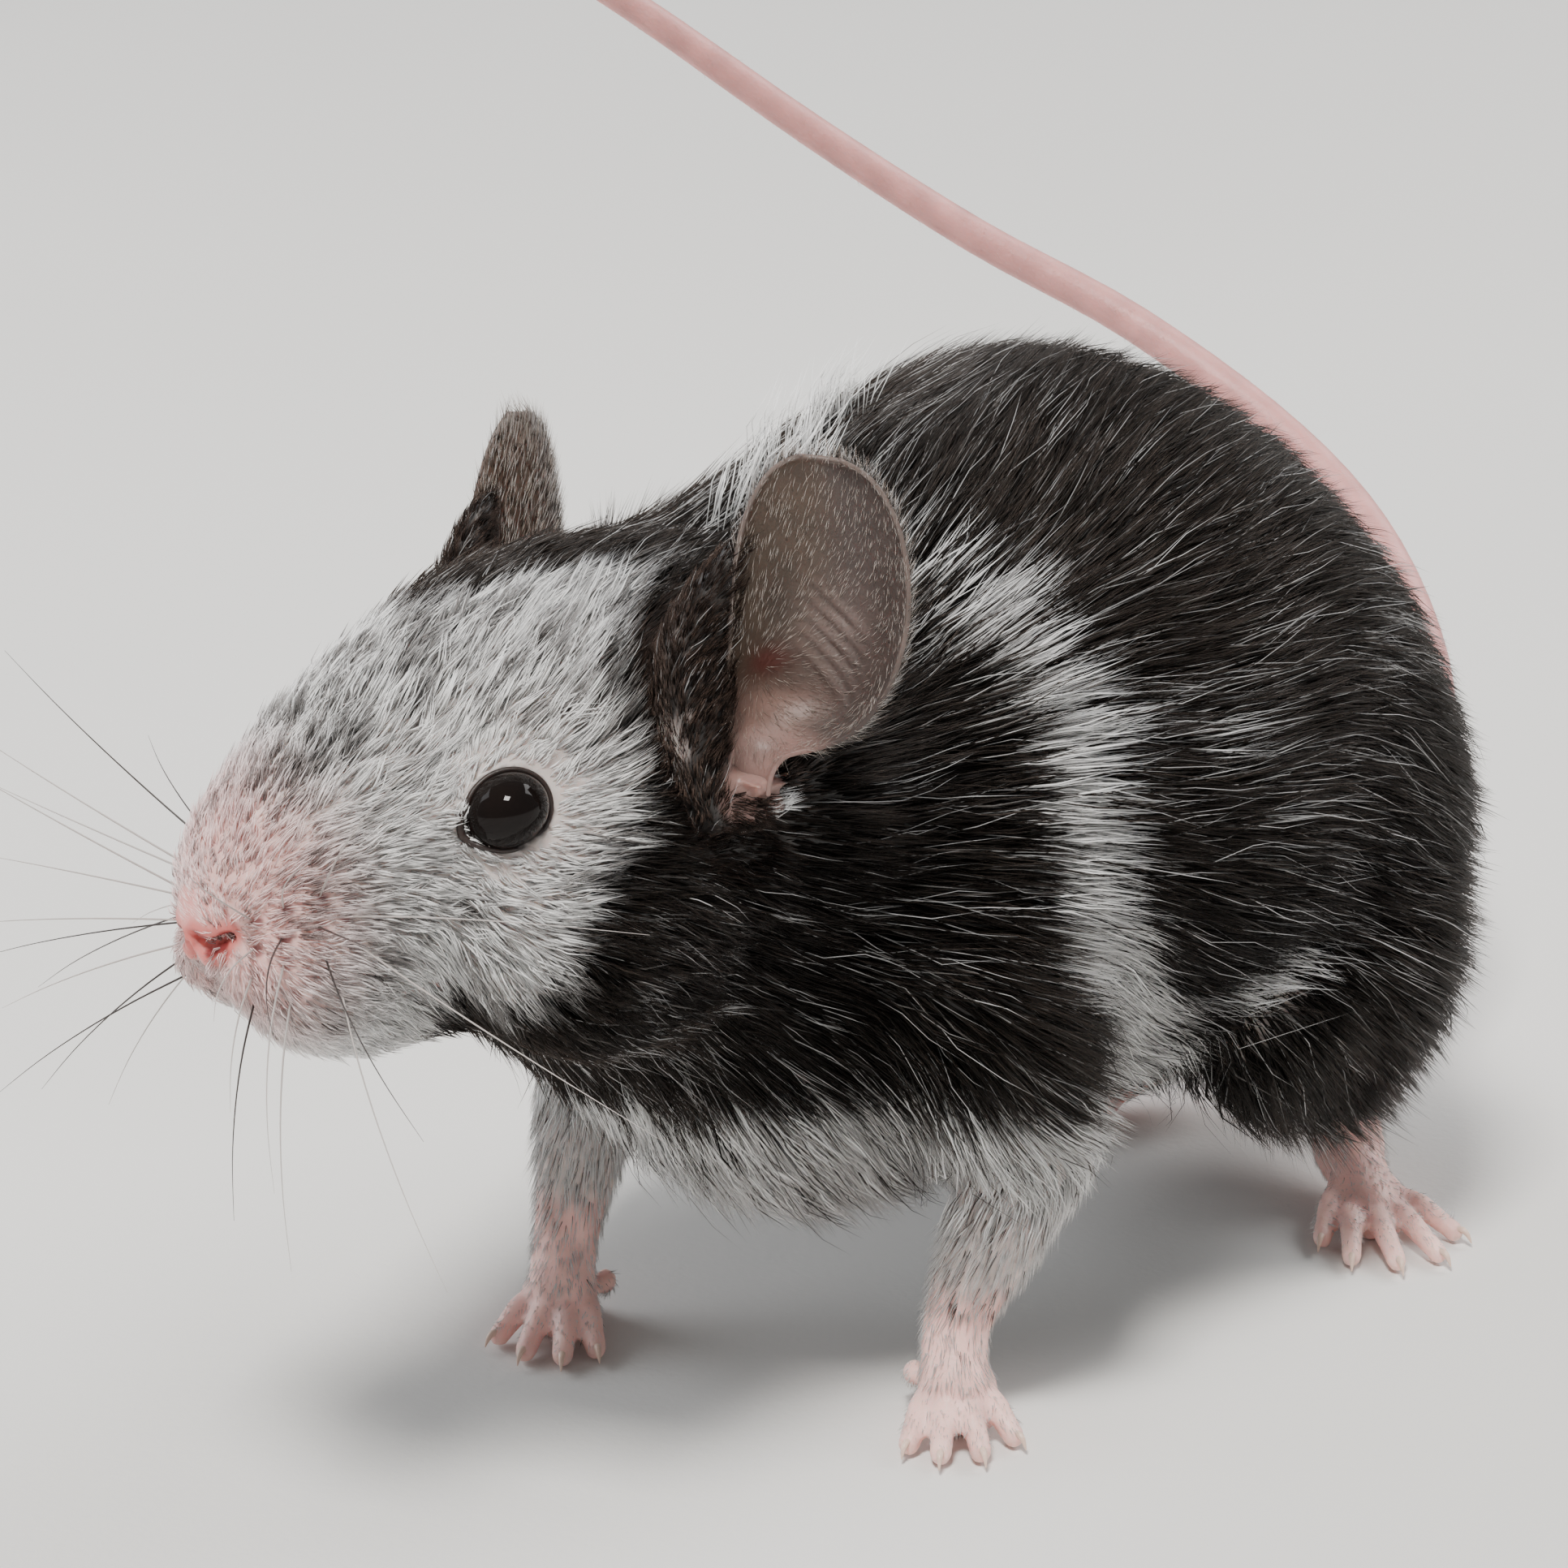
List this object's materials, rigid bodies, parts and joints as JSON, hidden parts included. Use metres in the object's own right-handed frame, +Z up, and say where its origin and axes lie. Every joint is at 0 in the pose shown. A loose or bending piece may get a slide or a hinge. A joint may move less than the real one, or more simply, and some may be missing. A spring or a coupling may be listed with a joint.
{
  "type": "house mouse",
  "caption": "Life-size still house mouse with a silvered dark coat, standing on four feet, head turned aside and tail raised.",
  "frame": {"origin": "middle of the whole model's footprint box, on the floor that the feet stand on", "axes": "+Z up; the mouse faces -Y, its left side is +X; the tail curls out to -X"},
  "size_m": [0.0696, 0.0818, 0.0533],
  "materials": {
    "coat_dark": "short dense charcoal fur with single silver guard hairs, soft sheen",
    "coat_silver": "short silver-white fur flecked with grey, soft sheen",
    "bare_skin": "thin pink skin with sparse short pale hairs, ringed scales on the tail",
    "ear_skin": "thin grey-brown skin with very short pale hairs, slightly translucent",
    "eye": "wet black gloss"
  },
  "bodies": {
    "root": {"head": "coat_silver", "lower_jaw": "coat_silver", "neck": "coat_dark", "chest": "coat_dark", "loin": "coat_dark", "rump": "coat_dark", "upper_arm_left": "coat_dark", "upper_arm_right": "coat_dark", "forearm_left": "coat_silver", "forearm_right": "coat_silver", "forepaw_left": "bare_skin", "forepaw_right": "bare_skin", "hind_leg_left": "coat_dark", "hind_leg_right": "coat_dark", "hind_foot_left": "bare_skin", "hind_foot_right": "bare_skin", "tail_root": "bare_skin", "tail_middle": "bare_skin", "tail_end": "bare_skin", "tail_tip": "bare_skin", "nose_pad": "bare_skin", "ear_left": "ear_skin", "ear_right": "ear_skin", "eye_left": "eye", "eye_right": "eye"}
  },
  "joints": []
}
